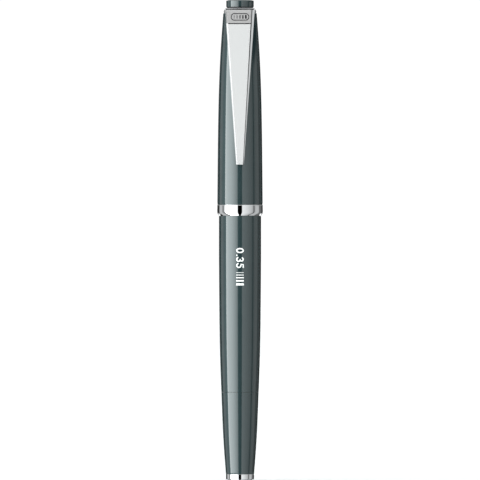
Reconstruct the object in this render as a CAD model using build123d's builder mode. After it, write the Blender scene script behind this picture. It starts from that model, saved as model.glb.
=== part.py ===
from build123d import *
import math
import os

# Technical pen with a pull-off cap, a sprung clip and a screw-driven piston filler. Millimetres.
# The pen stands along +Z on its flat tail, with the origin at the centre of that face.
# The nib points up inside the cap, and the clip faces -Y.

os.makedirs("parts", exist_ok=True)

# Heights along the axis, from the tail to the crown
TAIL_TOP = 1.7  # the chrome tail cap ends and the knob begins
SEAM = 25.2  # the filler knob meets the barrel
SHANK_FOOT = 64.0  # the barrel is a true cylinder from here to its shoulder
SHOULDER = 75.8
MOUTH = 75.85  # lower edge of the closed cap
NECK_FOOT = 77.2  # the barrel steps in to its neck
CAP_RING_TOP = 78.95
NECK_TOP = 84.0
GRIP_FOOT = 84.9
SECTION_TOP = 102.5
CONE_FOOT = 104.1
CONE_TOP = 117.0
TIP = 122.5
CAP_TOP = 134.0
COLLAR_TOP = 135.46
FINIAL_RIM = 137.6
CROWN = 138.2

# Outside radii
TAIL_R = 4.05
BARREL_R = 6.05
COLLAR_STEP_R = 5.8  # the barrel's short collar inside the cap ring
CAP_RING_R = 6.56
CAP_FOOT_R = 6.51
CAP_TOP_R = 4.82
COLLAR_R = 4.6
FINIAL_R = 3.95
NECK_R = 5.25

# Bores and clearances
SLIP = 0.05  # radial clearance of a running fit
SEAT = 0.02  # radial clearance of a glued or pressed seat
EDGE_BREAK = 0.08  # the broken edges on both sides of the knob's seam
BARREL_BORE = 4.55
KNOB_BORE = 3.3
RESERVOIR_BORE = 3.9
SECTION_BORE = 3.15
WEIGHT_BORE = 1.9
JOURNAL_R = 3.0  # the spindle where it turns in the barrel's rear wall
ROD_R = 1.6
ROD_FLATS = 2.4  # distance across the rod's two flats

WEIGHT_DROP = 2.0  # how far the cleaning weight falls


def profile(*points):
    """The face inside a closed outline through (radius, height) points."""
    with BuildSketch(Plane.XZ) as outline:
        with BuildLine():
            Polyline(*points, close=True)
        make_face()
    return outline.sketch


def ring_profile(inner, outer, foot, top):
    """The section of a plain ring."""
    return profile((inner, foot), (outer, foot), (outer, top), (inner, top))


def lower_body():
    """The barrel and the knob as one blank: a cylinder that runs into a long taper."""
    with BuildPart() as blank:
        with BuildSketch(Plane.XZ):
            with BuildLine():
                Spline(
                    (TAIL_R, TAIL_TOP),
                    (4.76, 11.5),
                    (5.27, 23.0),
                    (5.73, 36.0),
                    (5.96, 51.0),
                    (BARREL_R, SHANK_FOOT),
                )
                Polyline(
                    (BARREL_R, SHANK_FOOT),
                    (BARREL_R, SHOULDER),
                    (0, SHOULDER),
                    (0, TAIL_TOP),
                    (TAIL_R, TAIL_TOP),
                )
            make_face()
        revolve(axis=Axis.Z)
    return blank.part


# ---------------------------------------------------------------- knob end

SPIGOT_R = 2.4
SPIGOT_TOP = 4.7
KNOB_FLOOR = 5.2

# Chrome cap on the knob's end, with a spigot pressed into the knob
with BuildPart() as tail_cap:
    revolve(
        profile((0, 0), (TAIL_R - 0.03, 0), (TAIL_R, TAIL_TOP), (SPIGOT_R, TAIL_TOP),
                (SPIGOT_R, SPIGOT_TOP), (0, SPIGOT_TOP)),
        axis=Axis.Z,
    )
    fillet(tail_cap.edges().group_by(Axis.Z)[0], 0.35)

WASHER_IN = JOURNAL_R + 0.45
WASHER_OUT = 4.5
WASHER_DEPTH = 0.4

# The turning knob that drives the piston
with BuildPart() as filler_knob:
    add(lower_body())
    split(bisect_by=Plane.XY.offset(SEAM), keep=Keep.BOTTOM)
    chamfer(filler_knob.edges().group_by(Axis.Z)[-1], EDGE_BREAK)
    revolve(ring_profile(0, KNOB_BORE, KNOB_FLOOR, SEAM), axis=Axis.Z, mode=Mode.SUBTRACT)
    revolve(ring_profile(0, SPIGOT_R + SEAT, TAIL_TOP, KNOB_FLOOR), axis=Axis.Z,
            mode=Mode.SUBTRACT)
    revolve(ring_profile(WASHER_IN, WASHER_OUT, SEAM - WASHER_DEPTH, SEAM), axis=Axis.Z,
            mode=Mode.SUBTRACT)

with BuildPart() as knob_washer:
    revolve(ring_profile(WASHER_IN + SEAT, WASHER_OUT - SEAT, SEAM - WASHER_DEPTH, SEAM + 0.02),
            axis=Axis.Z)

REAR_WALL_FOOT = SEAM + 0.05  # the fine gap that shows as the seam
REAR_WALL_TOP = 28.9
SPINDLE_FOOT = 15.0
SPINDLE_TOP = 30.6
CLIP_GROOVE_FOOT = 29.0
CLIP_GROOVE_TOP = 29.6
CLIP_GROOVE_R = 2.7

# Threaded sleeve fixed in the knob. It turns in the barrel's rear wall and drives the rod.
with BuildPart() as spindle:
    revolve(
        profile((ROD_R + 0.1, SPINDLE_FOOT), (KNOB_BORE - SEAT, SPINDLE_FOOT),
                (KNOB_BORE - SEAT, SEAM - 0.3), (JOURNAL_R, SEAM - 0.3),
                (JOURNAL_R, CLIP_GROOVE_FOOT), (CLIP_GROOVE_R, CLIP_GROOVE_FOOT),
                (CLIP_GROOVE_R, CLIP_GROOVE_TOP), (JOURNAL_R, CLIP_GROOVE_TOP),
                (JOURNAL_R, SPINDLE_TOP), (ROD_R + 0.1, SPINDLE_TOP)),
        axis=Axis.Z,
    )

# Spring clip in the spindle's groove, open on one side, that keeps the knob on the barrel
with BuildPart() as retaining_clip:
    revolve(ring_profile(CLIP_GROOVE_R + SEAT, 4.0, CLIP_GROOVE_FOOT + SLIP,
                         CLIP_GROOVE_TOP - SLIP), axis=Axis.Z)
    with BuildSketch(Plane.XY.offset(CLIP_GROOVE_FOOT)):
        with Locations((0, 4.0)):
            Rectangle(2.6, 4.6)
    extrude(amount=1.0, mode=Mode.SUBTRACT)

# ---------------------------------------------------------------- barrel

with BuildPart() as barrel:
    add(lower_body())
    split(bisect_by=Plane.XY.offset(REAR_WALL_FOOT), keep=Keep.TOP)
    chamfer(barrel.edges().group_by(Axis.Z)[0], EDGE_BREAK)
    revolve(ring_profile(0, COLLAR_STEP_R, SHOULDER, NECK_FOOT), axis=Axis.Z)
    revolve(ring_profile(0, NECK_R, NECK_FOOT, NECK_TOP), axis=Axis.Z)
    revolve(ring_profile(0, JOURNAL_R + SLIP, REAR_WALL_FOOT, REAR_WALL_TOP), axis=Axis.Z,
            mode=Mode.SUBTRACT)
    revolve(ring_profile(0, BARREL_BORE, REAR_WALL_TOP, NECK_TOP), axis=Axis.Z,
            mode=Mode.SUBTRACT)

GUIDE_FOOT = 32.0
GUIDE_TOP = 35.5

# Bush fixed in the barrel, whose flats stop the rod from turning
with BuildPart() as piston_guide:
    revolve(ring_profile(0, BARREL_BORE - SEAT, GUIDE_FOOT, GUIDE_TOP), axis=Axis.Z)
    with BuildSketch(Plane.XY.offset(GUIDE_FOOT)):
        Circle(ROD_R + 0.08)
        Rectangle(2 * BARREL_BORE, ROD_FLATS + 0.16, mode=Mode.INTERSECT)
    extrude(amount=GUIDE_TOP - GUIDE_FOOT, mode=Mode.SUBTRACT)

RESERVOIR_FOOT = 36.0
RESERVOIR_TOP = 76.0

with BuildPart() as ink_reservoir:
    revolve(ring_profile(RESERVOIR_BORE, BARREL_BORE - SLIP, RESERVOIR_FOOT, RESERVOIR_TOP),
            axis=Axis.Z)

SPIGOT_FOOT = 76.6  # where the section's threaded spigot begins

with BuildPart() as reservoir_gasket:
    revolve(ring_profile(RESERVOIR_BORE, BARREL_BORE - SLIP, RESERVOIR_TOP + SEAT,
                         SPIGOT_FOOT - SEAT), axis=Axis.Z)

# ---------------------------------------------------------------- piston

HEAD_FOOT = 38.5
HEAD_TOP = 46.0
SEAL_FOOT = 41.0
SEAL_TOP = 44.5
SEAL_CORE_R = 2.6
ROD_FOOT = 6.5
ROD_SPIGOT_R = 1.15

# Rod with two flats. Its thread is drawn as its outside cylinder.
with BuildPart() as piston_rod:
    with BuildSketch(Plane.XY.offset(ROD_FOOT)):
        Circle(ROD_R)
        Rectangle(2 * ROD_R, ROD_FLATS, mode=Mode.INTERSECT)
    extrude(amount=HEAD_FOOT - ROD_FOOT)
    revolve(ring_profile(0, ROD_SPIGOT_R, HEAD_FOOT, HEAD_FOOT + 2), axis=Axis.Z)

with BuildPart() as piston_head:
    revolve(
        profile((0, HEAD_FOOT + 2.1), (ROD_SPIGOT_R + SEAT, HEAD_FOOT + 2.1),
                (ROD_SPIGOT_R + SEAT, HEAD_FOOT), (3.6, HEAD_FOOT), (3.6, SEAL_FOOT),
                (SEAL_CORE_R, SEAL_FOOT), (SEAL_CORE_R, SEAL_TOP), (3.6, SEAL_TOP),
                (3.6, HEAD_TOP - 0.6), (3.0, HEAD_TOP), (0, HEAD_TOP)),
        axis=Axis.Z,
    )

# Double-lipped seal that wipes the reservoir's wall
LIP_R = RESERVOIR_BORE - 0.03
with BuildPart() as piston_seal:
    revolve(
        profile((SEAL_CORE_R + SEAT, SEAL_FOOT + SLIP), (LIP_R, SEAL_FOOT + SLIP),
                (LIP_R, SEAL_FOOT + 0.6), (3.55, SEAL_FOOT + 0.95), (3.55, SEAL_TOP - 0.95),
                (LIP_R, SEAL_TOP - 0.6), (LIP_R, SEAL_TOP - SLIP),
                (SEAL_CORE_R + SEAT, SEAL_TOP - SLIP)),
        axis=Axis.Z,
    )

# ---------------------------------------------------------------- section and drawing nib

FEED_BORE = 2.6
PLUG_FOOT = 88.2
LAND_FOOT = 99.4
LAND_R = 4.4
SEAL_RING_Z = 100.65
SEAL_RING_WIRE = 0.3

with BuildPart() as grip_section:
    with BuildSketch(Plane.XZ):
        with BuildLine():
            Spline((5.15, GRIP_FOOT), (4.5, 89.2), (4.1, 94.5), (LAND_R, LAND_FOOT))
            Polyline(
                (LAND_R, LAND_FOOT),
                (LAND_R, SECTION_TOP - 0.2),
                (LAND_R - 0.2, SECTION_TOP),
                (SECTION_BORE, SECTION_TOP),
                (SECTION_BORE, PLUG_FOOT),
                (FEED_BORE, PLUG_FOOT),
                (FEED_BORE, SPIGOT_FOOT),
                (BARREL_BORE - SLIP, SPIGOT_FOOT),
                (BARREL_BORE - SLIP, GRIP_FOOT),
                (5.15, GRIP_FOOT),
            )
        make_face()
    revolve(axis=Axis.Z)
    revolve(
        ring_profile(LAND_R - 0.53, LAND_R + 1, SEAL_RING_Z - SEAL_RING_WIRE - 0.02,
                     SEAL_RING_Z + SEAL_RING_WIRE + 0.02),
        axis=Axis.Z,
        mode=Mode.SUBTRACT,
    )

# Rubber ring on the section's front land, which the closed cap's liner slides over
with BuildPart() as cap_seal_ring:
    with BuildSketch(Plane.XZ):
        with Locations((LAND_R - 0.23, SEAL_RING_Z)):
            Circle(SEAL_RING_WIRE)
    revolve(axis=Axis.Z)

with BuildPart() as section_ring:
    revolve(ring_profile(BARREL_BORE - SLIP + SEAT, NECK_R, NECK_TOP, GRIP_FOOT), axis=Axis.Z)
    fillet(section_ring.edges().filter_by(GeomType.CIRCLE).group_by(SortBy.RADIUS)[-1], 0.15)

FIN_PITCH = 0.85
FIN_COUNT = 12
FIN_WIDTH = 0.4
COIL_FOOT = 77.6
COIL_CORE_R = 2.0

# Breather body under the nib. Its helical air channel is drawn as a row of fins.
with BuildPart() as breather_coil:
    revolve(ring_profile(0.7, COIL_CORE_R, COIL_FOOT, PLUG_FOOT - 0.1), axis=Axis.Z)
    for fin in range(FIN_COUNT):
        fin_foot = COIL_FOOT + 0.3 + fin * FIN_PITCH
        revolve(ring_profile(0.7, FEED_BORE - SLIP, fin_foot, fin_foot + FIN_WIDTH), axis=Axis.Z)

SHANK_R = SECTION_BORE - SLIP
CONE_SHANK_FOOT = 90.0
WEIGHT_BORE_TOP = 106.0
TUBE_FOOT = 112.4
TUBE_R = 0.6

# Drawing cone: its shank screws into the section and its notched foot turns it
with BuildPart() as nib_cone:
    with BuildSketch(Plane.XZ):
        with BuildLine():
            Polyline(
                (WEIGHT_BORE, CONE_SHANK_FOOT),
                (SHANK_R, CONE_SHANK_FOOT),
                (SHANK_R, CONE_FOOT),
                (3.9, CONE_FOOT),
                (3.9, CONE_FOOT + 1.5),
                (3.5, CONE_FOOT + 1.9),
            )
            Spline((3.5, CONE_FOOT + 1.9), (2.35, 109.4), (1.4, 113.2), (1.1, CONE_TOP))
            Polyline(
                (1.1, CONE_TOP),
                (TUBE_R + SEAT, CONE_TOP),
                (TUBE_R + SEAT, TUBE_FOOT),
                (0.5, TUBE_FOOT),
                (0.5, WEIGHT_BORE_TOP + 1.5),
                (WEIGHT_BORE, WEIGHT_BORE_TOP),
                (WEIGHT_BORE, CONE_SHANK_FOOT),
            )
        make_face()
    revolve(axis=Axis.Z)
    with BuildSketch(Plane.XY.offset(CONE_FOOT)):
        with PolarLocations(3.9, 18):
            Circle(0.22)
    extrude(amount=1.9, mode=Mode.SUBTRACT)

# Line-width colour ring under the cone
with BuildPart() as coding_ring:
    revolve(ring_profile(SHANK_R + SEAT, 4.1, SECTION_TOP + SEAT, CONE_FOOT - SEAT), axis=Axis.Z)
    fillet(coding_ring.edges().filter_by(GeomType.CIRCLE).group_by(SortBy.RADIUS)[-1], 0.2)

TIP_R = 0.25
TIP_BORE = 0.18

# Stepped steel tube that lays the line
with BuildPart() as nib_tube:
    revolve(
        profile((TIP_BORE, TUBE_FOOT + SEAT), (TUBE_R, TUBE_FOOT + SEAT), (TUBE_R, 118.6),
                (0.45, 118.9), (TIP_R, 119.1), (TIP_R, TIP), (TIP_BORE, TIP)),
        axis=Axis.Z,
    )

# Plug that keeps the drop weight in the cone, with an ink hole
with BuildPart() as safety_plug:
    revolve(
        profile((0.45, PLUG_FOOT + SLIP), (SHANK_R, PLUG_FOOT + SLIP),
                (SHANK_R, CONE_SHANK_FOOT - SLIP), (WEIGHT_BORE - SEAT, CONE_SHANK_FOOT - SLIP),
                (WEIGHT_BORE - SEAT, 93.5), (0.45, 93.5)),
        axis=Axis.Z,
    )

WEIGHT_FOOT = 93.6
WEIGHT_TOP = 103.0
WEIGHT_R = 1.82
WIRE_R = 0.09

# Weight that shakes the cleaning wire through the tube, with three ink grooves
with BuildPart() as drop_weight:
    revolve(
        profile((0, WEIGHT_FOOT), (1.4, WEIGHT_FOOT), (WEIGHT_R, WEIGHT_FOOT + 0.42),
                (WEIGHT_R, WEIGHT_TOP - 0.9), (0.7, WEIGHT_TOP), (0, WEIGHT_TOP)),
        axis=Axis.Z,
    )
    with BuildSketch(Plane.XY.offset(WEIGHT_FOOT)):
        with PolarLocations(WEIGHT_R, 3):
            Circle(0.45)
    extrude(amount=WEIGHT_TOP - WEIGHT_FOOT, mode=Mode.SUBTRACT)

with BuildPart() as cleaning_wire:
    revolve(ring_profile(0, WIRE_R, WEIGHT_TOP, TIP + 0.1 - WEIGHT_DROP), axis=Axis.Z)

# ---------------------------------------------------------------- cap

RING_SPIGOT_R = 5.87
RING_SPIGOT_TOP = 81.9
CATCH_TOP = 83.0
CAP_BORE = 5.6
LINER_SEAT = 92.6
LINER_BORE = 5.0
LINER_ROOM_TOP = 125.7
CAP_ROOF = 131.0
SCREW_R = 1.5

with BuildPart() as cap_shell:
    with BuildSketch(Plane.XZ):
        with BuildLine():
            Spline(
                (CAP_FOOT_R, CAP_RING_TOP),
                (6.34, 97.6),
                (5.96, 114.8),
                (5.37, 126.3),
                (CAP_TOP_R, CAP_TOP - 0.3),
            )
            Polyline(
                (CAP_TOP_R, CAP_TOP - 0.3),
                (CAP_TOP_R - 0.22, CAP_TOP),
                (SCREW_R + 0.1, CAP_TOP),
                (SCREW_R + 0.1, CAP_ROOF),
                (4.0, CAP_ROOF),
                (4.0, LINER_ROOM_TOP),
                (LINER_BORE, LINER_ROOM_TOP),
                (LINER_BORE, LINER_SEAT),
                (CAP_BORE, LINER_SEAT),
                (CAP_BORE, CATCH_TOP),
                (RING_SPIGOT_R, CATCH_TOP),
                (RING_SPIGOT_R, CAP_RING_TOP),
                (CAP_FOOT_R, CAP_RING_TOP),
            )
        make_face()
    revolve(axis=Axis.Z)

# Chrome ring at the cap's mouth. Its inner step stops on the barrel's shoulder.
RING_BORE = CAP_BORE + SEAT
with BuildPart() as cap_ring:
    with BuildSketch(Plane.XZ):
        with BuildLine():
            Spline((6.1, MOUTH), (6.4, 76.4), (CAP_RING_R, 77.6), (6.53, CAP_RING_TOP))
            Polyline(
                (6.53, CAP_RING_TOP),
                (RING_SPIGOT_R - SEAT, CAP_RING_TOP),
                (RING_SPIGOT_R - SEAT, RING_SPIGOT_TOP),
                (RING_BORE, RING_SPIGOT_TOP),
                (RING_BORE, NECK_FOOT + 0.15),
                (COLLAR_STEP_R + 0.07, NECK_FOOT + 0.15),
                (COLLAR_STEP_R + 0.07, MOUTH),
                (6.1, MOUTH),
            )
        make_face()
    revolve(axis=Axis.Z)

# Open spring ring above the cap ring's spigot, which grips the barrel's neck
with BuildPart() as cap_catch_ring:
    revolve(ring_profile(NECK_R + 0.06, RING_SPIGOT_R - SLIP, RING_SPIGOT_TOP + SLIP,
                         CATCH_TOP - SLIP), axis=Axis.Z)
    with BuildSketch(Plane.XY.offset(RING_SPIGOT_TOP)):
        with Locations((0, NECK_R)):
            Rectangle(3.0, 3.0)
    extrude(amount=2.0, mode=Mode.SUBTRACT)

LINER_WALL_R = LINER_BORE - SLIP
SEAL_FACE = 122.95  # underside of the soft pad over the tip

# Liner that closes airtight round the section's front
with BuildPart() as inner_cap:
    revolve(
        profile((4.5, 91.6), (CAP_BORE - SLIP, 91.6), (CAP_BORE - SLIP, LINER_SEAT - SEAT),
                (LINER_WALL_R, LINER_SEAT - SEAT), (LINER_WALL_R, 125.5), (0, 125.5),
                (0, 123.9), (3.2, 123.9), (3.2, 109.0), (4.5, 106.5)),
        axis=Axis.Z,
    )

with BuildPart() as nib_seal_pad:
    revolve(ring_profile(0, 3.2 - SEAT, SEAL_FACE, 123.9 - SEAT), axis=Axis.Z)

# Screw from inside the cap's roof up into the finial. It clamps the clip's collar.
with BuildPart() as finial_screw:
    revolve(
        profile((0, 128.9), (2.2, 128.9), (2.6, 129.3), (2.6, CAP_ROOF - SEAT),
                (SCREW_R, CAP_ROOF - SEAT), (SCREW_R, 136.7), (0, 136.7)),
        axis=Axis.Z,
    )
    with BuildSketch(Plane.XY.offset(128.9)):
        Rectangle(6, 0.6)
    extrude(amount=0.9, mode=Mode.SUBTRACT)

FINIAL_SPIGOT_R = 2.6
FINIAL_SPIGOT_FOOT = 134.9
UNDERCUT_R = 3.8  # shadow groove between the finial and the collar
UNDERCUT_TOP = 135.75

with BuildPart() as finial:
    with BuildSketch(Plane.XZ):
        with BuildLine():
            TangentArc((0, CROWN), (3.62, FINIAL_RIM + 0.05), tangent=(1, 0))
            Polyline(
                (0, CROWN),
                (0, 136.8),
                (SCREW_R + SEAT, 136.8),
                (SCREW_R + SEAT, FINIAL_SPIGOT_FOOT),
                (FINIAL_SPIGOT_R, FINIAL_SPIGOT_FOOT),
                (FINIAL_SPIGOT_R, COLLAR_TOP),
                (UNDERCUT_R, COLLAR_TOP),
                (UNDERCUT_R, UNDERCUT_TOP),
                (FINIAL_R, UNDERCUT_TOP),
                (FINIAL_R, FINIAL_RIM - 0.15),
                (FINIAL_R - 0.15, FINIAL_RIM),
                (3.66, FINIAL_RIM),
                (3.62, FINIAL_RIM + 0.05),
            )
        make_face()
    revolve(axis=Axis.Z)

# ---------------------------------------------------------------- clip and its pivot

PIN_Y = -4.25
PIN_Z = 134.55
PIN_R = 0.3
PIN_HALF = 4.1
EAR_IN = 2.2
EAR_OUT = 3.1
EAR_FRONT = -4.78
EAR_TOP = 135.0
SPRING_R = 0.5
SPRING_HALF = 2.05

COLLAR_GROOVE = (4.0, EAR_TOP, 135.2)  # floor radius, foot and top of the groove above the clip

# Collar between the cap and the finial, with two ears that hold the clip's pin
with BuildPart() as clip_collar:
    with BuildSketch(Plane.XZ):
        with BuildLine():
            Spline((COLLAR_R, CAP_TOP), (4.56, 134.9), (4.17, COLLAR_TOP - 0.08))
            Polyline(
                (4.17, COLLAR_TOP - 0.08),
                (4.05, COLLAR_TOP),
                (FINIAL_SPIGOT_R + SEAT, COLLAR_TOP),
                (FINIAL_SPIGOT_R + SEAT, FINIAL_SPIGOT_FOOT - SLIP),
                (SCREW_R + 0.1, FINIAL_SPIGOT_FOOT - SLIP),
                (SCREW_R + 0.1, CAP_TOP),
                (COLLAR_R, CAP_TOP),
            )
        make_face()
    revolve(axis=Axis.Z)
    revolve(ring_profile(COLLAR_GROOVE[0], COLLAR_R + 1, *COLLAR_GROOVE[1:]), axis=Axis.Z,
            mode=Mode.SUBTRACT)
    with BuildSketch(Plane.XY.offset(CAP_TOP)):
        for side in (-1, 1):
            with Locations((side * (EAR_IN + EAR_OUT) / 2, (EAR_FRONT - 3.2) / 2)):
                Rectangle(EAR_OUT - EAR_IN, -EAR_FRONT - 3.2)
    extrude(amount=EAR_TOP - CAP_TOP)
    with BuildSketch(Plane.XY.offset(CAP_TOP)):
        with Locations((0, -4.6)):
            Rectangle(2 * EAR_IN, 1.9)
    extrude(amount=EAR_TOP - CAP_TOP, mode=Mode.SUBTRACT)
    with BuildSketch(Plane.YZ):
        with Locations((PIN_Y, PIN_Z)):
            Circle(PIN_R + SEAT)
    extrude(amount=EAR_OUT + 1, both=True, mode=Mode.SUBTRACT)

with BuildPart() as clip_pin:
    with BuildSketch(Plane.YZ):
        with Locations((PIN_Y, PIN_Z)):
            Circle(PIN_R)
    extrude(amount=PIN_HALF, both=True)

# Torsion spring on the pin, drawn as the tube its coil fills
with BuildPart() as clip_spring:
    with BuildSketch(Plane.YZ):
        with Locations((PIN_Y, PIN_Z)):
            Circle(SPRING_R)
            Circle(PIN_R + 0.04, mode=Mode.SUBTRACT)
    extrude(amount=SPRING_HALF, both=True)

CLIP_FOOT = 90.5
CLIP_TOP = 134.95
CLIP_FRONT_TOP = -6.1
CLIP_FRONT_FOOT = -8.3
HALF_WIDTH_FOOT = 1.09
HALF_WIDTH_TOP = 4.22
# Widths of the bevels at the clip's top and foot. The one on +X is wide and has two facets.
NARROW_BEVEL = (0.38, 0.24)
WIDE_BEVEL = (0.95, 0.24)
INNER_FACET = 38  # degrees that the facets turn away from the front
OUTER_FACET = 44
OUTER_SHARE = 0.6  # the outer facet's share of the wide bevel
NARROW_ROUND = 0.12  # rounds the front face into its bevels
WIDE_ROUND = 0.6
TOP_CHAMFER = 0.2
CHEEK_BACK = -3.6  # rear edge of the clip's cheeks beside the ears

# Front face of the clip, leaning out towards its foot
face_lean = (CLIP_FRONT_FOOT - CLIP_FRONT_TOP) / (CLIP_FOOT - CLIP_TOP)
clip_face = Plane(origin=(0, CLIP_FRONT_TOP, CLIP_TOP), x_dir=(1, 0, 0), z_dir=(0, -1, face_lean))


def bevel_plane(side, bevel, inset, sink, angle):
    """The plane of one bevel facet, which faces outward at an angle from straight ahead.

    It starts inset bevel widths in from the clip's side and sink bevel widths behind the front.
    """
    slope = math.radians(angle)
    ends = [
        Vector(side * (half_width - inset * width),
               CLIP_FRONT_TOP + face_lean * (height - CLIP_TOP) + sink * width, height)
        for half_width, width, height in ((HALF_WIDTH_TOP, bevel[0], CLIP_TOP),
                                          (HALF_WIDTH_FOOT, bevel[1], CLIP_FOOT))
    ]
    across = Vector(side * math.cos(slope), math.sin(slope), 0)
    return Plane(origin=ends[0], x_dir=across, z_dir=(ends[1] - ends[0]).cross(across) * side)


EMBLEM_DEPTH = 0.15
GROOVE_DOWN = 4.07  # from the clip's top edge down to the cross groove
GROOVE_LENGTH = 6.7
GROOVE_WIDTH = 0.28
EMBLEM_WIDTH = 5.3
EMBLEM_HEIGHT = 2.1
EMBLEM_DOWN = 2.12
EMBLEM_LINE = 0.24
BAR_HEIGHT = 1.05
BAR_WIDTHS = (0.14, 0.2, 0.28, 0.38, 0.5)  # five line widths, fine to bold
BAR_PITCH = 0.84

with BuildPart() as clip:
    with BuildSketch(Plane.YZ):
        with BuildLine():
            Polyline(
                (-7.2, 91.3),
                (-7.2, CLIP_FOOT),
                (CLIP_FRONT_FOOT, CLIP_FOOT),
                (CLIP_FRONT_TOP - face_lean * TOP_CHAMFER, CLIP_TOP - TOP_CHAMFER),
                (CLIP_FRONT_TOP + TOP_CHAMFER, CLIP_TOP),
                (CHEEK_BACK, CLIP_TOP),
                (CHEEK_BACK, 134.25),
                (-4.35, 134.0),
                (-5.02, 133.6),
                (-5.45, 129.2),
                (-6.33, 114.8),
                (-7.08, 95.3),
            )
            ThreePointArc((-7.08, 95.3), (-6.54, 93.3), (-7.2, 91.3))
        make_face()
    extrude(amount=HALF_WIDTH_TOP + 1, both=True)
    with BuildSketch(Plane.XZ):
        Polygon(
            (-HALF_WIDTH_FOOT, CLIP_FOOT),
            (HALF_WIDTH_FOOT, CLIP_FOOT),
            (HALF_WIDTH_TOP, CLIP_TOP),
            (-HALF_WIDTH_TOP, CLIP_TOP),
            align=None,
        )
    extrude(amount=12, mode=Mode.INTERSECT)
    for side, bevel in ((-1, NARROW_BEVEL), (1, WIDE_BEVEL)):
        split(bisect_by=bevel_plane(side, bevel, 1, 0, INNER_FACET), keep=Keep.BOTTOM)
    for place, radius in ((0, NARROW_ROUND), (-1, WIDE_ROUND)):
        front = clip.faces().filter_by(lambda face: face.normal_at().Y < -0.95).sort_by(SortBy.AREA)[-1]
        long_edges = front.edges().filter_by(lambda edge: abs((edge % 0.5).Z) > 0.9)
        fillet(long_edges.sort_by(Axis.X)[place], radius)
    sink = (1 - OUTER_SHARE) * math.tan(math.radians(INNER_FACET))
    split(bisect_by=bevel_plane(1, WIDE_BEVEL, OUTER_SHARE, sink, OUTER_FACET), keep=Keep.BOTTOM)
    # Room for the ears and the spring between the clip's two cheeks
    with BuildSketch(Plane.YZ):
        Polygon((-2, 135.5), (-4.98, 135.5), (-4.98, 133.7), (-2, 133.7), align=None)
    extrude(amount=EAR_OUT + 0.12, both=True, mode=Mode.SUBTRACT)
    with BuildSketch(Plane.YZ):
        with Locations((PIN_Y, PIN_Z)):
            Circle(PIN_R + 0.04)
    extrude(amount=HALF_WIDTH_TOP + 1, both=True, mode=Mode.SUBTRACT)
    # Cross groove, and a framed row of bars engraved above it
    with BuildSketch(clip_face):
        with Locations((0, -GROOVE_DOWN)):
            Rectangle(GROOVE_LENGTH, GROOVE_WIDTH)
        with Locations((0, -EMBLEM_DOWN)):
            RectangleRounded(EMBLEM_WIDTH, EMBLEM_HEIGHT, 1.0)
            RectangleRounded(EMBLEM_WIDTH - 2 * EMBLEM_LINE, EMBLEM_HEIGHT - 2 * EMBLEM_LINE,
                             1.0 - EMBLEM_LINE, mode=Mode.SUBTRACT)
        for place, width in enumerate(BAR_WIDTHS):
            with Locations(((place - 2) * BAR_PITCH, -EMBLEM_DOWN)):
                Rectangle(width, BAR_HEIGHT)
    extrude(amount=-EMBLEM_DEPTH, mode=Mode.SUBTRACT)

# ---------------------------------------------------------------- write every piece

pieces = {
    "tail_cap": tail_cap,
    "filler_knob": filler_knob,
    "knob_washer": knob_washer,
    "spindle": spindle,
    "retaining_clip": retaining_clip,
    "barrel": barrel,
    "piston_guide": piston_guide,
    "ink_reservoir": ink_reservoir,
    "reservoir_gasket": reservoir_gasket,
    "piston_rod": piston_rod,
    "piston_head": piston_head,
    "piston_seal": piston_seal,
    "grip_section": grip_section,
    "cap_seal_ring": cap_seal_ring,
    "section_ring": section_ring,
    "breather_coil": breather_coil,
    "nib_cone": nib_cone,
    "coding_ring": coding_ring,
    "nib_tube": nib_tube,
    "safety_plug": safety_plug,
    "drop_weight": drop_weight,
    "cleaning_wire": cleaning_wire,
    "cap_shell": cap_shell,
    "cap_ring": cap_ring,
    "cap_catch_ring": cap_catch_ring,
    "inner_cap": inner_cap,
    "nib_seal_pad": nib_seal_pad,
    "finial_screw": finial_screw,
    "finial": finial,
    "clip_collar": clip_collar,
    "clip_pin": clip_pin,
    "clip_spring": clip_spring,
    "clip": clip,
}
for label, piece in pieces.items():
    piece.part.label = label
    export_step(piece.part, f"parts/{label}.step")
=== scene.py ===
import math

import bmesh
import bpy
import numpy as np
from mathutils import Matrix, Vector


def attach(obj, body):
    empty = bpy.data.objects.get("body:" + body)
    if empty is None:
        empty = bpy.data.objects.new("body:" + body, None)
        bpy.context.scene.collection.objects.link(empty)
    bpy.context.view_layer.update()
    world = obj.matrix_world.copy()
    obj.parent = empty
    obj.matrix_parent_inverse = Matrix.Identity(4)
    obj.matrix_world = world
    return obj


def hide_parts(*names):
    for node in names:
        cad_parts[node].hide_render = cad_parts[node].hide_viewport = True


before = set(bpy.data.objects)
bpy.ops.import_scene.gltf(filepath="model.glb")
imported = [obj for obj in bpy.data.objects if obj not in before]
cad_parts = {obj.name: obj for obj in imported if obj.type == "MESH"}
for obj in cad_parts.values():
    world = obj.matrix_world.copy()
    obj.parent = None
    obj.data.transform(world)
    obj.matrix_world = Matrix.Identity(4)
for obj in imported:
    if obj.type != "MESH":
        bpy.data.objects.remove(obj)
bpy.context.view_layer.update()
scene = bpy.context.scene

# Technical pen. It stands along +Z on its tail and the clip faces -Y. Lengths in the outlines, in
# the mark and in names that end in _MM are in millimetres, and all others are in metres.
MM = 0.001
SEGMENTS = 192  # round the pen's axis
CORNER_STEPS = 6  # along a rounded corner
SHARP_DEG = 28  # edges sharper than this stay sharp
FACE_WEIGHT = 80  # how strongly a large face keeps its own normal
SAME_POINT_MM = 1e-5
ON_AXIS_MM = 1e-6
WELD = 2e-7
SLIVER = 1e-7


# ---------------------------------------------------------------- outlines

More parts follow.
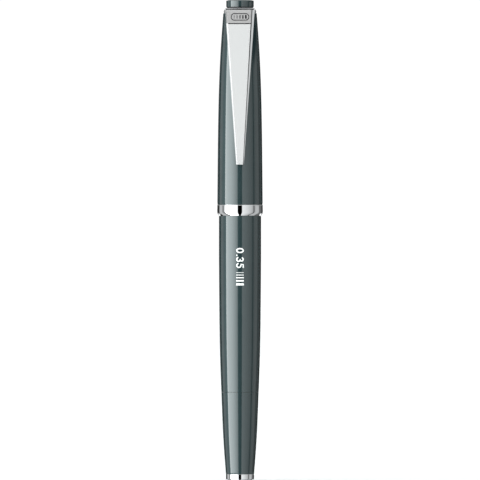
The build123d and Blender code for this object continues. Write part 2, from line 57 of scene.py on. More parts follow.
def natural_cubic(points, steps):
    """A natural cubic through (radius, height) points, as steps + 1 points along it."""
    radius = np.array([p[0] for p in points], float)
    height = np.array([p[1] for p in points], float)
    gap = np.diff(height)
    slope = np.diff(radius) / gap
    count = len(height)
    matrix = np.eye(count)
    right = np.zeros(count)
    for i in range(1, count - 1):
        matrix[i, i - 1:i + 2] = gap[i - 1], 2 * (gap[i - 1] + gap[i]), gap[i]
        right[i] = 6 * (slope[i] - slope[i - 1])
    bend = np.linalg.solve(matrix, right)
    out = []
    for t in np.linspace(0, count - 1, steps + 1):
        i = min(int(t), count - 2)
        b = t - i
        a = 1 - b
        r = a * radius[i] + b * radius[i + 1]
        r += ((a ** 3 - a) * bend[i] + (b ** 3 - b) * bend[i + 1]) * gap[i] * gap[i] / 6
        out.append((float(r), float(height[i] + b * gap[i])))
    return out


def rounded(corners):
    """A closed outline through (radius, height) corners. A third number rounds that corner."""
    out = []
    count = len(corners)
    for i, corner in enumerate(corners):
        here = Vector(corner[:2])
        if len(corner) < 3:
            out.append(tuple(here))
            continue
        before = Vector(corners[i - 1][:2]) - here
        after = Vector(corners[(i + 1) % count][:2]) - here
        room = min(before.length, after.length)
        before.normalize()
        after.normalize()
        half_angle = before.angle(after) / 2
        reach = min(corner[2] / math.tan(half_angle), room)
        radius = reach * math.tan(half_angle)
        middle = here + (before + after).normalized() * (radius / math.sin(half_angle))
        start = here + before * reach - middle
        end = here + after * reach - middle
        sweep = start.angle_signed(end)
        for k in range(CORNER_STEPS + 1):
            turn = -sweep * k / CORNER_STEPS
            cos = math.cos(turn)
            sin = math.sin(turn)
            out.append((
                middle.x + start.x * cos - start.y * sin,
                middle.y + start.x * sin + start.y * cos,
            ))
    return out


def arc(start, through, end, steps):
    """Points on the circle from start through a middle point to end."""
    (ax, ay), (bx, by), (cx, cy) = start, through, end
    a = ax**2 + ay**2
    b = bx**2 + by**2
    c = cx**2 + cy**2
    d = 2 * (ax * (by - cy) + bx * (cy - ay) + cx * (ay - by))
    ux = (a * (by - cy) + b * (cy - ay) + c * (ay - by)) / d
    uy = (a * (cx - bx) + b * (ax - cx) + c * (bx - ax)) / d
    first = math.atan2(ay - uy, ax - ux)
    last = math.atan2(cy - uy, cx - ux)
    sweep = (last - first + math.pi) % (2 * math.pi) - math.pi
    radius = math.hypot(ax - ux, ay - uy)
    turns = [first + sweep * k / steps for k in range(steps + 1)]
    return [(ux + radius * math.cos(turn), uy + radius * math.sin(turn)) for turn in turns]


# ---------------------------------------------------------------- meshes

def add_object(name, data):
    """A new object in the scene."""
    made = bpy.data.objects.new(name, data)
    scene.collection.objects.link(made)
    return made


def add_piece(name, mesh, body, material, nodes):
    """A piece that rides on a body and stands for CAD nodes, shaded with real edges sharp."""
    piece = add_object(name, mesh)
    mesh.materials.append(material)
    mesh.polygons.foreach_set("use_smooth", [True] * len(mesh.polygons))
    mesh.set_sharp_from_angle(angle=math.radians(SHARP_DEG))
    weighted = piece.modifiers.new("weighted", "WEIGHTED_NORMAL")
    weighted.keep_sharp = True
    weighted.weight = FACE_WEIGHT
    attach(piece, body)
    if nodes:
        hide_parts(*nodes)
    return piece


def make_piece(name, bm, body, material, nodes):
    """Turn a bmesh in millimetres into a piece."""
    bmesh.ops.recalc_face_normals(bm, faces=bm.faces)
    mesh = bpy.data.meshes.new(name)
    bm.to_mesh(mesh)
    bm.free()
    mesh.transform(Matrix.Scale(MM, 4))
    return add_piece(name, mesh, body, material, nodes)


def lathe(name, outline, body, material, nodes):
    """Spin a closed outline round the pen's axis."""
    outline = [p for i, p in enumerate(outline) if math.dist(p, outline[i - 1]) > SAME_POINT_MM]
    turns = [2 * math.pi * k / SEGMENTS for k in range(SEGMENTS)]
    bm = bmesh.new()
    rings = []
    for r, z in outline:
        if r < ON_AXIS_MM:
            rings.append([bm.verts.new((0, 0, z))])
        else:
            rings.append([bm.verts.new((r * math.cos(turn), r * math.sin(turn), z)) for turn in turns])
    for a, b in zip(rings, rings[1:] + rings[:1]):
        if len(a) == 1 and len(b) == 1:
            continue
        for k in range(SEGMENTS):
            n = (k + 1) % SEGMENTS
            if len(a) == 1:
                bm.faces.new((a[0], b[k], b[n]))
            elif len(b) == 1:
                bm.faces.new((a[k], a[n], b[0]))
            else:
                bm.faces.new((a[k], a[n], b[n], b[k]))
    return make_piece(name, bm, body, material, nodes)


def refined(node, name, body, material):
    """A copy of a CAD node's surface with clean shading."""
    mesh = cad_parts[node].data.copy()
    mesh.name = name
    bm = bmesh.new()
    bm.from_mesh(mesh)
    bmesh.ops.remove_doubles(bm, verts=bm.verts, dist=WELD)
    bmesh.ops.dissolve_degenerate(bm, edges=bm.edges, dist=SLIVER)
    bmesh.ops.recalc_face_normals(bm, faces=bm.faces)
    bm.to_mesh(mesh)
    bm.free()
    mesh.materials.clear()
    if "custom_normal" in mesh.attributes:
        mesh.attributes.remove(mesh.attributes["custom_normal"])
    return add_piece(name, mesh, body, material, [node])


# ---------------------------------------------------------------- shader nodes

NOISE_ROUGHNESS = 0.55
NOISE_RANGE = (0.3, 0.7)  # where most of the noise lies
GRAIN_DETAIL = 3.0


def new_material(name, **sockets):
    """A Principled material with its plain values set on the shader's own sockets."""
    material = bpy.data.materials.new(name)
    material.use_nodes = True
    shader = material.node_tree.nodes["Principled BSDF"]
    for key, value in sockets.items():
        shader.inputs[key.replace("_", " ")].default_value = value
    return material


def connect(tree, source, socket):
    """Link an output to a socket, or set the socket to a plain value."""
    if isinstance(source, bpy.types.NodeSocket):
        tree.links.new(source, socket)
    else:
        socket.default_value = source


def add_node(tree, kind, settings=None, **inputs):
    """A new node with its settings, and with its inputs linked or set by name."""
    node = tree.nodes.new(kind)
    for key, value in (settings or {}).items():
        setattr(node, key, value)
    for key, value in inputs.items():
        connect(tree, value, node.inputs[key.replace("_", " ")])
    return node


def calculate(tree, operation, *values):
    """The result of a Math node."""
    node = add_node(tree, "ShaderNodeMath", {"operation": operation})
    for socket, value in zip(node.inputs, values):
        connect(tree, value, socket)
    return node.outputs["Value"]


def mix(tree, factor, first, second, data_type="FLOAT"):
    """First at 0, second at 1. Both are numbers, or colours when data_type is RGBA."""
    node = add_node(tree, "ShaderNodeMix", {"data_type": data_type}, Factor=factor, A=first, B=second)
    return node.outputs["Result"]


def coordinates(tree, stretch):
    """Object coordinates, squeezed along each axis by stretch."""
    place = add_node(tree, "ShaderNodeTexCoord")
    mapping = add_node(tree, "ShaderNodeMapping", Vector=place.outputs["Object"], Scale=stretch)
    return mapping.outputs["Vector"]


def noise(tree, scale, detail, stretch=(1, 1, 1)):
    """Noise that stays with the piece."""
    node = add_node(
        tree, "ShaderNodeTexNoise", Vector=coordinates(tree, stretch), Scale=scale, Detail=detail,
        Roughness=NOISE_ROUGHNESS,
    )
    return node.outputs["Fac"]


def remap(tree, value, low, high, span=NOISE_RANGE):
    """From low to high as the value crosses a span."""
    node = add_node(
        tree, "ShaderNodeMapRange", Value=value, From_Min=span[0], From_Max=span[1], To_Min=low,
        To_Max=high,
    )
    return node.outputs["Result"]


def drift(tree, grain, first, second):
    """A colour that drifts from first to second with a noise."""
    return mix(tree, remap(tree, grain, 0, 1), (*first, 1), (*second, 1), "RGBA")


def finish_shader(material, color, roughness, height, bump_mm):
    """Give the material's shader its colour, its roughness and a fine bump."""
    tree = material.node_tree
    shader = tree.nodes["Principled BSDF"]
    connect(tree, color, shader.inputs["Base Color"])
    connect(tree, roughness, shader.inputs["Roughness"])
    if bump_mm:
        relief = add_node(tree, "ShaderNodeBump", Height=height, Distance=bump_mm * MM)
        connect(tree, relief.outputs["Normal"], shader.inputs["Normal"])


# ---------------------------------------------------------------- materials

def make_finish(name, colors, roughness, scale, bump_mm=0.0, stretch=(1, 1, 1), **sockets):
    """A material whose colour and roughness drift a little over the surface."""
    material = new_material(name, **sockets)
    tree = material.node_tree
    grain = noise(tree, scale, GRAIN_DETAIL, stretch)
    finish_shader(material, drift(tree, grain, *colors), remap(tree, grain, *roughness), grain, bump_mm)
    return material


lacquer = make_finish(
    "lacquer", [(0.023, 0.042, 0.045), (0.027, 0.047, 0.050)], (0.50, 0.60), 260, 0.0004, Metallic=0.8,
    Specular_Tint=(0.08, 0.08, 0.08, 1), Coat_Weight=1.0, Coat_Roughness=0.012, Coat_IOR=1.7,
)
chrome = make_finish(
    "chrome", [(0.66, 0.66, 0.67), (0.72, 0.72, 0.73)], (0.012, 0.03), 900, Metallic=1.0,
)
satin_chrome = make_finish(
    "satin_chrome", [(0.42, 0.42, 0.43), (0.50, 0.50, 0.51)], (0.42, 0.52), 1800, 0.001, Metallic=1.0,
)
spring_steel = make_finish(
    "spring_steel", [(0.42, 0.42, 0.44), (0.56, 0.56, 0.58)], (0.22, 0.38), 1500, 0.002, Metallic=1.0,
)
nib_steel = make_finish(
    "nib_steel", [(0.60, 0.60, 0.62), (0.72, 0.72, 0.74)], (0.12, 0.24), 900, 0.001, (1, 1, 6),
    Metallic=1.0,
)
brass = make_finish(
    "brass", [(0.66, 0.45, 0.17), (0.78, 0.56, 0.25)], (0.22, 0.38), 500, 0.002, (1, 1, 12),
    Metallic=1.0,
)
black_plastic = make_finish(
    "black_plastic", [(0.016, 0.016, 0.018), (0.026, 0.026, 0.028)], (0.5, 0.7), 2500, 0.006,
)
grip_plastic = make_finish(
    "grip_plastic", [(0.013, 0.015, 0.016), (0.020, 0.023, 0.024)], (0.22, 0.34), 1800, 0.002, IOR=1.5,
)
cone_plastic = make_finish(
    "cone_plastic", [(0.020, 0.021, 0.023), (0.030, 0.031, 0.034)], (0.26, 0.38), 1800, 0.002, IOR=1.5,
)
coil_plastic = make_finish(
    "coil_plastic", [(0.55, 0.55, 0.51), (0.66, 0.66, 0.62)], (0.4, 0.55), 700, 0.003,
    Subsurface_Weight=0.1,
)
coding_colour = make_finish(
    "coding_colour", [(0.78, 0.47, 0.008), (0.86, 0.55, 0.015)], (0.16, 0.26), 700, 0.001, IOR=1.5,
)
washer_plastic = make_finish(
    "washer_plastic", [(0.62, 0.62, 0.58), (0.72, 0.72, 0.68)], (0.35, 0.5), 900, 0.002,
)
piston_plastic = make_finish(
    "piston_plastic", [(0.54, 0.54, 0.51), (0.64, 0.64, 0.61)], (0.42, 0.6), 900, 0.003,
)
liner_plastic = make_finish(
    "liner_plastic", [(0.024, 0.024, 0.026), (0.036, 0.036, 0.039)], (0.45, 0.62), 2200, 0.004,
)
rubber = make_finish(
    "rubber", [(0.009, 0.009, 0.009), (0.016, 0.016, 0.016)], (0.6, 0.8), 2600, 0.005,
)
pad_rubber = make_finish(
    "pad_rubber", [(0.26, 0.26, 0.24), (0.33, 0.33, 0.31)], (0.55, 0.7), 2000, 0.004,
)
ink_glass = make_finish(
    "ink_glass", [(0.78, 0.86, 0.88), (0.84, 0.90, 0.92)], (0.02, 0.06), 400, Transmission_Weight=0.9,
    IOR=1.5,
)
mark_ink = make_finish(
    "mark_ink", [(0.74, 0.75, 0.74), (0.84, 0.85, 0.84)], (0.35, 0.5), 2500, 0.002,
)
# Painted shade: a dark colour for grooves, undercuts and engraved marks, where shade falls in them
painted_shade = make_finish(
    "painted_shade", [(0.018, 0.018, 0.020), (0.030, 0.030, 0.032)], (0.6, 0.8), 6000, 0.002,
    Specular_IOR_Level=0.1,
)

# Heights on the clip between which its finish changes. Above the top edge's span the colour is painted
# shade.
FIELD_FOOT = (0.1308, 0.1310)
FIELD_TOP = (0.1342, 0.1346)
SHADED_TOP_EDGE = (0.13484, 0.13488)
CLIP_NOISE = (9000, 2.0)  # scale and detail


def clip_material():
    """Satin plate, polished bevels and a frosted field above the cross groove, with painted shade:
    nearly black inner facets on the right, dark bevels facing left and a dark top edge.
    """
    material = new_material("clip_steel", Metallic=1.0)
    tree = material.node_tree
    place = add_node(tree, "ShaderNodeTexCoord")
    normal = add_node(tree, "ShaderNodeSeparateXYZ", Vector=place.outputs["Normal"])
    position = add_node(tree, "ShaderNodeSeparateXYZ", Vector=place.outputs["Object"])
    strokes = noise(tree, *CLIP_NOISE, stretch=(1, 1, 0.02))
    frost = noise(tree, *CLIP_NOISE)

    def above(source, axis, span):
        return remap(tree, source.outputs[axis], 0, 1, span)

    def under(source, axis, span, over=0):
        return remap(tree, source.outputs[axis], 1, over, span)

    def both(first, second):
        return calculate(tree, "MULTIPLY", first, second)

    def greys(grain, first, second):
        return drift(tree, grain, (first,) * 3, (second,) * 3)

    def cover(area, below, color):
        return mix(tree, area, below, color, "RGBA")

    plate = under(normal, "Y", (-0.995, -0.93))
    facing = both(under(normal, "Y", (-0.7, -0.6)), under(normal, "X", (0.48, 0.56)))
    field = both(facing, both(above(position, "Z", FIELD_FOOT), under(position, "Z", FIELD_TOP, 0.85)))
    # Painted shade: bevels that face left are coloured dark, on the satin steel and on the frosted
    # field
    shaded_left_bevel = under(normal, "X", (-0.5, -0.3))
    # Painted shade: the inner facets that face right are coloured nearly black
    shaded_inner_facet = both(above(normal, "X", (0.30, 0.36)), under(normal, "X", (0.64, 0.67)))

    steel = drift(tree, strokes, (0.95, 0.95, 0.96), (0.98, 0.98, 0.99))
    steel = cover(plate, steel, greys(strokes, 0.61, 0.655))
    steel = cover(shaded_left_bevel, steel, greys(frost, 0.15, 0.18))
    steel = cover(shaded_inner_facet, steel, greys(frost, 0.012, 0.02))
    frosted = drift(tree, frost, (0.34, 0.335, 0.335), (0.47, 0.46, 0.46))
    frosted = cover(shaded_left_bevel, frosted, greys(frost, 0.14, 0.20))
    color = cover(field, steel, frosted)
    # Painted shade: the clip's top edge is coloured dark
    color = cover(above(position, "Z", SHADED_TOP_EDGE), color, greys(frost, 0.05, 0.08))

    polished = remap(tree, frost, 0.02, 0.04)
    brushed = remap(tree, strokes, 0.80, 0.90)
    grainy = remap(tree, frost, 0.5, 0.65)
    roughness = mix(tree, field, mix(tree, plate, polished, brushed), grainy)
    finish_shader(material, color, roughness, both(strokes, plate), 0.002)
    return material


clip_steel = clip_material()


# ---------------------------------------------------------------- outside of the pen

SEAM = 25.2
SHOULDER = 75.8
NECK_FOOT = 77.2
body_curve = natural_cubic(
    [(4.05, 1.7), (4.76, 11.5), (5.27, 23.0), (5.73, 36.0), (5.96, 51.0), (6.05, 64.0)], 160)


def body_radius(z):
    """Outside radius of the barrel and knob at a height."""
    return float(np.interp(z, [p[1] for p in body_curve], [p[0] for p in body_curve]))


def between_heights(curve, foot, top):
    """The points of a curve between two heights."""
    return [(r, z) for r, z in curve if foot < z < top]


lathe("knob_shell", rounded([
    (2.44, 1.7), (4.03, 1.7, 0.06), *between_heights(body_curve, 1.95, SEAM - 0.1),
    (body_radius(SEAM), SEAM, 0.03), (4.5, SEAM, 0.04), (4.5, SEAM - 0.4), (3.45, SEAM - 0.4),
    (3.45, SEAM), (3.3, SEAM), (3.3, 5.2), (2.44, 5.2),
]), "knob", lacquer, ["filler_knob"])

lathe("tail_ring", rounded([
    (0, 0.12), (2.9, 0.12), (3.05, 0.0, 0.1), (4.02, 0, 0.36), (4.045, 1.66, 0.06), (2.4, 1.7),
    (2.4, 4.7, 0.2), (0, 4.7),
]), "knob", chrome, ["tail_cap"])

lathe("barrel_shell", rounded([
    (3.05, SEAM + 0.05), (body_radius(SEAM + 0.05), SEAM + 0.05, 0.03),
    *between_heights(body_curve, SEAM + 0.2, SHOULDER), (6.05, SHOULDER, 0.08), (5.8, SHOULDER),
    (5.8, NECK_FOOT, 0.1), (5.25, NECK_FOOT), (5.25, 84.0, 0.12), (4.55, 84.0), (4.55, 28.9),
    (3.05, 28.9),
]), "barrel", lacquer, ["barrel"])

cap_side = natural_cubic(
    [(6.51, 78.95), (6.34, 97.6), (5.96, 114.8), (5.37, 126.3), (4.82, 133.7)], 120)
lathe("cap_body", rounded([
    (6.42, 78.95), *between_heights(cap_side, 79.1, 133.6), (4.80, 134.0, 0.22), (1.6, 134.0),
    (1.6, 131.0), (4.0, 131.0), (4.0, 125.7), (5.0, 125.7), (5.0, 92.6), (5.6, 92.6), (5.6, 83.0),
    (5.87, 83.0), (5.87, 78.95),
]), "cap", lacquer, ["cap_shell"])

ring_side = natural_cubic([(6.06, 75.87), (6.4, 76.4), (6.55, 77.6), (6.53, 78.85)], 36)
lathe("mouth_ring", rounded([
    (5.87, 75.87), *ring_side, (6.50, 78.93, 0.06), (5.85, 78.93), (5.85, 81.9), (5.62, 81.9),
    (5.62, 77.35), (5.87, 77.35),
]), "cap", chrome, ["cap_ring"])


def paint_shade(piece, chosen):
    """Give the chosen faces of a piece painted shade: a dark colour that stands in for the shade in
    grooves and engravings.
    """
    piece.data.materials.append(painted_shade)
    for face in piece.data.polygons:
        if chosen(face):
            face.material_index = 1


def in_band(foot, top):
    """A test for the faces of a groove between two heights."""
    return lambda face: foot * MM < face.center.z < top * MM


crown = lathe("crown", rounded([
    (0, 136.8), (1.52, 136.8), (1.52, 134.9), (2.6, 134.9), (2.6, 135.46), (3.8, 135.46),
    (3.8, 135.75), (3.95, 135.75, 0.04), (3.95, 137.6, 0.14), (3.66, 137.6, 0.03),
    *arc((3.62, 137.66), (1.9, 138.06), (0, 138.2), 24),
]), "cap", lacquer, ["finial"])
# Painted shade: the undercut between the crown and the collar is coloured dark where shade falls
paint_shade(crown, in_band(135.45, 135.76))

collar = refined("clip_collar", "collar", "cap", satin_chrome)
# Painted shade: the groove in the collar just above the clip is coloured dark where shade falls
paint_shade(collar, in_band(134.99, 135.21))

# The clip's front leans outward below its top edge
CLIP_TOP_Z = 0.13495
CLIP_FRONT_Y = -0.0061
CLIP_LEAN = 0.0495
ENGRAVING_FOOT_Z = 0.1305
ENGRAVING_TOP_Z = CLIP_TOP_Z - 0.5 * MM
SHALLOWEST = 0.02 * MM
DEEPEST = 0.2 * MM


def is_engraved(face):
    """Whether a face of the clip is the floor or a wall of the shallow engraved marks in its front."""
    middle = face.center
    depth = middle.y - (CLIP_FRONT_Y + CLIP_LEAN * (middle.z - CLIP_TOP_Z))
    in_field = ENGRAVING_FOOT_Z < middle.z < ENGRAVING_TOP_Z
    floor_or_wall = face.normal.y < -0.99 or face.normal.y > -0.1
    return in_field and SHALLOWEST < depth < DEEPEST and floor_or_wall


pocket_clip = refined("clip", "pocket_clip", "clip", clip_steel)
# Painted shade: the floors and walls of the engraved marks on the clip are coloured dark where shade
# falls in them
paint_shade(pocket_clip, is_engraved)
refined("clip_pin", "hinge_pin", "cap", spring_steel)


# ---------------------------------------------------------------- under the cap

grip_side = natural_cubic([(5.15, 84.9), (4.5, 89.2), (4.1, 94.5), (4.4, 99.4)], 60)
lathe("grip", rounded([
    (4.5, 84.9), (5.15, 84.9, 0.08), *between_heights(grip_side, 85.1, 99.3), (4.4, 99.4),
    (4.4, 100.33, 0.05), (3.87, 100.33), (3.87, 100.97), (4.4, 100.97, 0.05), (4.4, 102.5, 0.2),
    (3.15, 102.5), (3.15, 88.2), (2.6, 88.2), (2.6, 76.6), (4.5, 76.6),
]), "barrel", grip_plastic, ["grip_section"])

lathe("trim_ring", rounded([
    (4.52, 84.0), (5.25, 84.0, 0.16), (5.25, 84.9, 0.16), (4.52, 84.9),
]), "barrel", chrome, ["section_ring"])

lathe("colour_ring", rounded([
    (3.12, 102.52), (4.1, 102.52, 0.2), (4.1, 104.08, 0.2), (3.12, 104.08),
]), "barrel", coding_colour, ["coding_ring"])

refined("nib_cone", "drawing_cone", "barrel", cone_plastic)
refined("nib_tube", "line_tube", "barrel", nib_steel)


# ---------------------------------------------------------------- line-width mark on the barrel

MARK_TOP = 66.6  # the mark reads downward from here, with the tops of its digits to +X
MARK_HEIGHT = 2.2
MARK_THICKNESS = 0.014  # above and below the barrel's surface
MARK_WELD = 1e-4
STROKE = 0.36
DIGIT_WIDTH = 1.12
LINE_WIDTHS = (0.13, 0.2, 0.3, 0.42, 0.6)
LINE_GAP = 0.52
LINE_STEPS = 12
END_TURNS = (20, 40, 60, 80)  # degrees round the end of a stroke


def sweep_arc(centre, radius, first, last, steps=20):
    """Points on an arc, in degrees from first to last."""
    turns = [math.radians(first + (last - first) * k / steps) for k in range(steps + 1)]
    return [
        (centre[0] + radius[0] * math.cos(turn), centre[1] + radius[1] * math.sin(turn))
        for turn in turns
    ]


def ribbon(points, width, closed):
    """A pen stroke of constant width, as (left point, right point) pairs."""
    pairs = []
    count = len(points)
    for i, (x, y) in enumerate(points):
        before = points[i - 1] if i or closed else points[0]
        after = points[(i + 1) % count] if i < count - 1 or closed else points[-1]
        along = Vector((after[0] - before[0], after[1] - before[1])).normalized()
        across = Vector((-along.y, along.x)) * width / 2
        pairs.append(((x + across.x, y + across.y), (x - across.x, y - across.y)))
    if closed:
        return pairs + pairs[:1]
    return round_end(points[0], points[1], width, -1)[::-1] + pairs + round_end(
        points[-1], points[-2], width, 1)


def round_end(tip, inner, width, sign):
    """Pairs that round off a stroke beyond its tip, from the tip outward."""
    direction = (Vector(tip) - Vector(inner)).normalized()
    pairs = []
    for turn in END_TURNS:
        reach = math.sin(math.radians(turn)) * width / 2
        half = math.cos(math.radians(turn)) * width / 2
        middle = Vector(tip) + direction * reach
        side = Vector((-direction.y, direction.x)) * half * sign
        pairs.append(((middle.x + side.x, middle.y + side.y), (middle.x - side.x, middle.y - side.y)))
    return pairs


def bar(x, width):
    """A straight line of the mark with flat ends, as pairs."""
    heights = [MARK_HEIGHT * k / LINE_STEPS for k in range(LINE_STEPS + 1)]
    return [((x - width / 2, y), (x + width / 2, y)) for y in heights]


def mark_strokes():
    """The mark's strokes and whether each is a loop: 0.35, and five lines from fine to bold."""
    tall = MARK_HEIGHT - STROKE
    wide = DIGIT_WIDTH
    low = STROKE / 2

    # Each digit starts at the cursor, and its parts are shares of its width and height
    cursor = STROKE / 2
    zero = sweep_arc((cursor + wide / 2, low + tall / 2), (wide / 2, tall / 2), 0, 360, 40)[:-1]
    cursor += wide + 0.78
    point = [(cursor - 0.02, low), (cursor + 0.02, low)]
    cursor += 0.72
    upper = tall * 0.25
    lower = tall * 0.27
    three = sweep_arc((cursor + wide * 0.42, low + tall - upper), (wide * 0.42, upper), 155, -90)
    three += sweep_arc((cursor + wide * 0.42, low + lower), (wide * 0.5, lower), 90, -155)
    cursor += wide + 0.62
    bowl = tall * 0.32
    five = [(cursor + wide * 0.9, low + tall), (cursor + wide * 0.16, low + tall)]
    five += sweep_arc((cursor + wide * 0.42, low + bowl), (wide * 0.5, bowl), 128, -155)
    cursor += wide + 1.35

    strokes = [(ribbon(zero, STROKE, True), True)]
    strokes += [(ribbon(points, STROKE, False), False) for points in (point, three, five)]
    for width in LINE_WIDTHS:
        cursor += width / 2
        strokes.append((bar(cursor, width), False))
        cursor += width / 2 + LINE_GAP
    return strokes


def barrel_mark():
    """The mark as thin ink wrapped on the barrel."""
    bm = bmesh.new()

    def wrap(point, lift):
        along, up = point
        z = MARK_TOP - along
        r = body_radius(z)
        angle = (up - MARK_HEIGHT / 2) / r
        return bm.verts.new(((r + lift) * math.sin(angle), -(r + lift) * math.cos(angle), z))

    for pairs, closed in mark_strokes():
        top = [(wrap(a, MARK_THICKNESS), wrap(b, MARK_THICKNESS)) for a, b in pairs]
        bottom = [(wrap(a, -MARK_THICKNESS), wrap(b, -MARK_THICKNESS)) for a, b in pairs]
        for k in range(len(pairs) - 1):
            for first, second in ((top[k], top[k + 1]), (bottom[k + 1], bottom[k])):
                bm.faces.new((first[0], first[1], second[1], second[0]))
            for side in (0, 1):
                bm.faces.new((top[k][side], top[k + 1][side], bottom[k + 1][side], bottom[k][side]))
        if not closed:
            for k in (0, -1):
                bm.faces.new((top[k][0], top[k][1], bottom[k][1], bottom[k][0]))
    bmesh.ops.remove_doubles(bm, verts=bm.verts, dist=MARK_WELD)
    make_piece("barrel_mark", bm, "barrel", mark_ink, None)


barrel_mark()


# ---------------------------------------------------------------- the clip's spring

SPRING_Y_MM = -4.25
SPRING_Z_MM = 134.55
COIL_RADIUS_MM = 0.41
WIRE_RADIUS_MM = 0.08
SPRING_HALF_LENGTH_MM = 2.03
COIL_TURNS = 18
STEPS_PER_TURN = 28
WIRE_SIDES = 10


def torsion_spring():
    """A helical spring along X round the clip's pin, as a closed tube."""
    bm = bmesh.new()
    steps = COIL_TURNS * STEPS_PER_TURN
    travel = SPRING_HALF_LENGTH_MM - WIRE_RADIUS_MM
    rings = []
    for k in range(steps + 1):
        turn = 2 * math.pi * COIL_TURNS * k / steps
        outward = Vector((0, math.cos(turn), math.sin(turn)))
        axis = Vector((travel * (2 * k / steps - 1), SPRING_Y_MM, SPRING_Z_MM))
        middle = axis + outward * COIL_RADIUS_MM
        ring = []
        for j in range(WIRE_SIDES):
            angle = 2 * math.pi * j / WIRE_SIDES
            around = outward * math.cos(angle) + Vector((1, 0, 0)) * math.sin(angle)
            ring.append(bm.verts.new(middle + around * WIRE_RADIUS_MM))
        rings.append(ring)
    for a, b in zip(rings, rings[1:]):
        for j in range(WIRE_SIDES):
            n = (j + 1) % WIRE_SIDES
            bm.faces.new((a[j], a[n], b[n], b[j]))
    bm.faces.new(rings[0])
    bm.faces.new(rings[-1])
    make_piece("torsion_spring", bm, "cap", spring_steel, ["clip_spring"])


torsion_spring()


# ---------------------------------------------------------------- hidden pieces keep their CAD shape

inner_finishes = {
    "knob_washer": washer_plastic, "spindle": brass, "retaining_clip": spring_steel,
    "piston_guide": black_plastic, "ink_reservoir": ink_glass, "reservoir_gasket": rubber,
    "piston_rod": piston_plastic, "piston_head": piston_plastic, "piston_seal": rubber,
    "cap_seal_ring": rubber, "breather_coil": coil_plastic, "safety_plug": coil_plastic,
    "drop_weight": nib_steel, "cleaning_wire": nib_steel, "cap_catch_ring": spring_steel,
    "inner_cap": liner_plastic, "nib_seal_pad": pad_rubber, "finial_screw": brass,
}
for node_name, finish in inner_finishes.items():
    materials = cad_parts[node_name].data.materials
    materials.clear()
    materials.append(finish)


# ---------------------------------------------------------------- camera

IMAGE_SIZE = 480
MM_PER_PIXEL = 0.287
VIEW_WIDTH = IMAGE_SIZE * MM_PER_PIXEL * MM
LENS_MM = 1200
SENSOR_MM = 36
camera_data = bpy.data.cameras.new("camera")
camera_data.lens = LENS_MM
camera_data.sensor_width = SENSOR_MM
camera_data.clip_start = 0.05
camera_data.clip_end = 60
camera = add_object("camera", camera_data)
camera.location = (0, -VIEW_WIDTH * LENS_MM / SENSOR_MM, VIEW_WIDTH / 2)
camera.rotation_euler = (math.pi / 2, 0, 0)
scene.camera = camera


# ---------------------------------------------------------------- lights

# Brightness by direction, in degrees round the pen. 0 is the camera's side and + is to the right.
# Two softboxes leave a dark gap in front, with lit panels further back.
FRONT_STOPS = [
    (-127, 0.7), (-105, 0.75), (-101, 0.42), (-83, 0.38), (-81, 7.0), (-74, 5.4), (-45, 4.2),
    (-30, 3.2), (-13, 1.7), (-11.5, 0.0), (10, 0.0), (11.5, 1.2), (27, 1.1), (45, 0.9), (64, 0.68),
    (71, 0.45), (73, 0.45), (74, 0.0), (78, 0.0), (79, 0.5), (92, 0.7), (110, 0.62), (116, 0.18),
]
LEVEL_STOPS = [
    (-148, 0.15), (-143, 0.01), (-129, 0.02), *FRONT_STOPS, (134, 0.2), (142, 0.06), (164, 0.0),
    (168, 0.1),
]
# A band of directions below the horizon, which the pen mirrors when seen from above, is dimmer in
# front and has softboxes behind the pen too
DIM_LIMIT = 1.8
LOW_STOPS = [
    (-176, 0.0), (-174, 1.5), (-150, 1.8), (-147, 0.3),
    *[(degrees, min(strength, DIM_LIMIT)) for degrees, strength in FRONT_STOPS],
    (142, 0.4), (144, 1.8), (168, 1.4), (170, 0.1),
]
PEAK = 7.0  # the brightest stop
OVERHEAD = 1.0
UNDERNEATH = 0.35
STUDIO_TINT = (0.97, 1.0, 1.0, 1)
BACKDROP = 1.05  # what the camera sees behind the pen

# Spans of height over which the light changes, from -1 straight down to 1 straight up
LOW_BAND_FOOT = (-0.45, -0.38)
LOW_BAND_TOP = (-0.23, -0.18)
GLOW_SPAN = (0.10, 0.30)
CEILING_SPAN = (0.55, 0.80)
BENEATH_SPAN = (-0.99, -0.97)
PANEL_TOP = (0.070, 0.090)
# The right-hand panel's ends, in radians round the pen
PANEL_START = (1.38, 1.45)
PANEL_END = (2.6, 2.7)


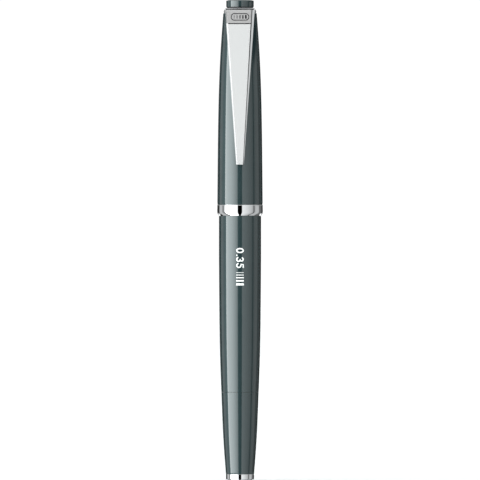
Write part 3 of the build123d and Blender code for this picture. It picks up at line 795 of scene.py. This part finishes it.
def studio():
    """The world: white to the camera, and softboxes and panels to everything else."""
    world = bpy.data.worlds.new("studio")
    world.use_nodes = True
    scene.world = world
    tree = world.node_tree
    tree.nodes.clear()

    def ramp(stops, factor):
        node = add_node(tree, "ShaderNodeValToRGB", Fac=factor)
        elements = node.color_ramp.elements
        while len(elements) < len(stops):
            elements.new(1.0)
        for element, (degrees, strength) in zip(elements, stops):
            element.position = degrees / 360 + 0.5
            element.color = (strength / PEAK,) * 3 + (1,)
        return calculate(tree, "MULTIPLY", node.outputs["Color"], PEAK)

    def change(value, span, first, second):
        """First below the span, second above it."""
        step = add_node(
            tree, "ShaderNodeMapRange", {"interpolation_type": "SMOOTHSTEP"}, Value=value,
            From_Min=span[0], From_Max=span[1],
        )
        return mix(tree, step.outputs["Result"], first, second)

    place = add_node(tree, "ShaderNodeTexCoord")
    direction = add_node(tree, "ShaderNodeSeparateXYZ", Vector=place.outputs["Generated"])
    height = direction.outputs["Z"]
    forward = calculate(tree, "MULTIPLY", direction.outputs["Y"], -1.0)
    azimuth = calculate(tree, "ARCTAN2", direction.outputs["X"], forward)
    factor = calculate(tree, "MULTIPLY_ADD", azimuth, 0.5 / math.pi, 0.5)

    # The right-hand panel ends a little above the horizon
    panel = calculate(
        tree, "MULTIPLY", change(azimuth, PANEL_START, 0.0, 1.0), change(azimuth, PANEL_END, 1.0, 0.0))
    above_panel = calculate(tree, "MULTIPLY", panel, change(height, PANEL_TOP, 0.0, 1.0))
    kept = calculate(tree, "SUBTRACT", 1.0, above_panel)
    level = calculate(tree, "MULTIPLY", ramp(LEVEL_STOPS, factor), kept)

    strength = change(height, LOW_BAND_TOP, ramp(LOW_STOPS, factor), level)
    strength = change(height, LOW_BAND_FOOT, level, strength)
    strength = calculate(tree, "MAXIMUM", strength, change(height, GLOW_SPAN, 0.0, OVERHEAD))
    strength = change(height, CEILING_SPAN, strength, OVERHEAD)
    strength = change(height, BENEATH_SPAN, UNDERNEATH, strength)

    lit = add_node(tree, "ShaderNodeBackground", Color=STUDIO_TINT, Strength=strength)
    seen = add_node(tree, "ShaderNodeBackground", Color=(1, 1, 1, 1), Strength=BACKDROP)
    path = add_node(tree, "ShaderNodeLightPath")
    choose = add_node(tree, "ShaderNodeMixShader", Fac=path.outputs["Is Camera Ray"])
    for socket, background in zip(choose.inputs[1:], (lit, seen)):
        connect(tree, background.outputs["Background"], socket)
    add_node(tree, "ShaderNodeOutputWorld", Surface=choose.outputs["Shader"])


studio()


# ---------------------------------------------------------------- floor

FLOOR_HALF = 12
FLOOR_DROP = 0.00005  # keeps the floor clear of the tail
floor_mesh = bpy.data.meshes.new("floor")
floor_mesh.from_pydata(
    [(x * FLOOR_HALF, y * FLOOR_HALF, 0) for x, y in ((-1, -1), (1, -1), (1, 1), (-1, 1))],
    [], [(0, 1, 2, 3)],
)
floor_mesh.materials.append(new_material(
    "floor_white", Base_Color=(0.87, 0.87, 0.87, 1), Roughness=1.0, Specular_IOR_Level=0.0))
floor = add_object("floor", floor_mesh)
floor.location = (0, 0, -FLOOR_DROP)
floor.visible_glossy = False
floor.visible_shadow = False

scene.view_settings.view_transform = "Standard"
scene.view_settings.look = "None"
scene.view_settings.exposure = 0
scene.view_settings.gamma = 1
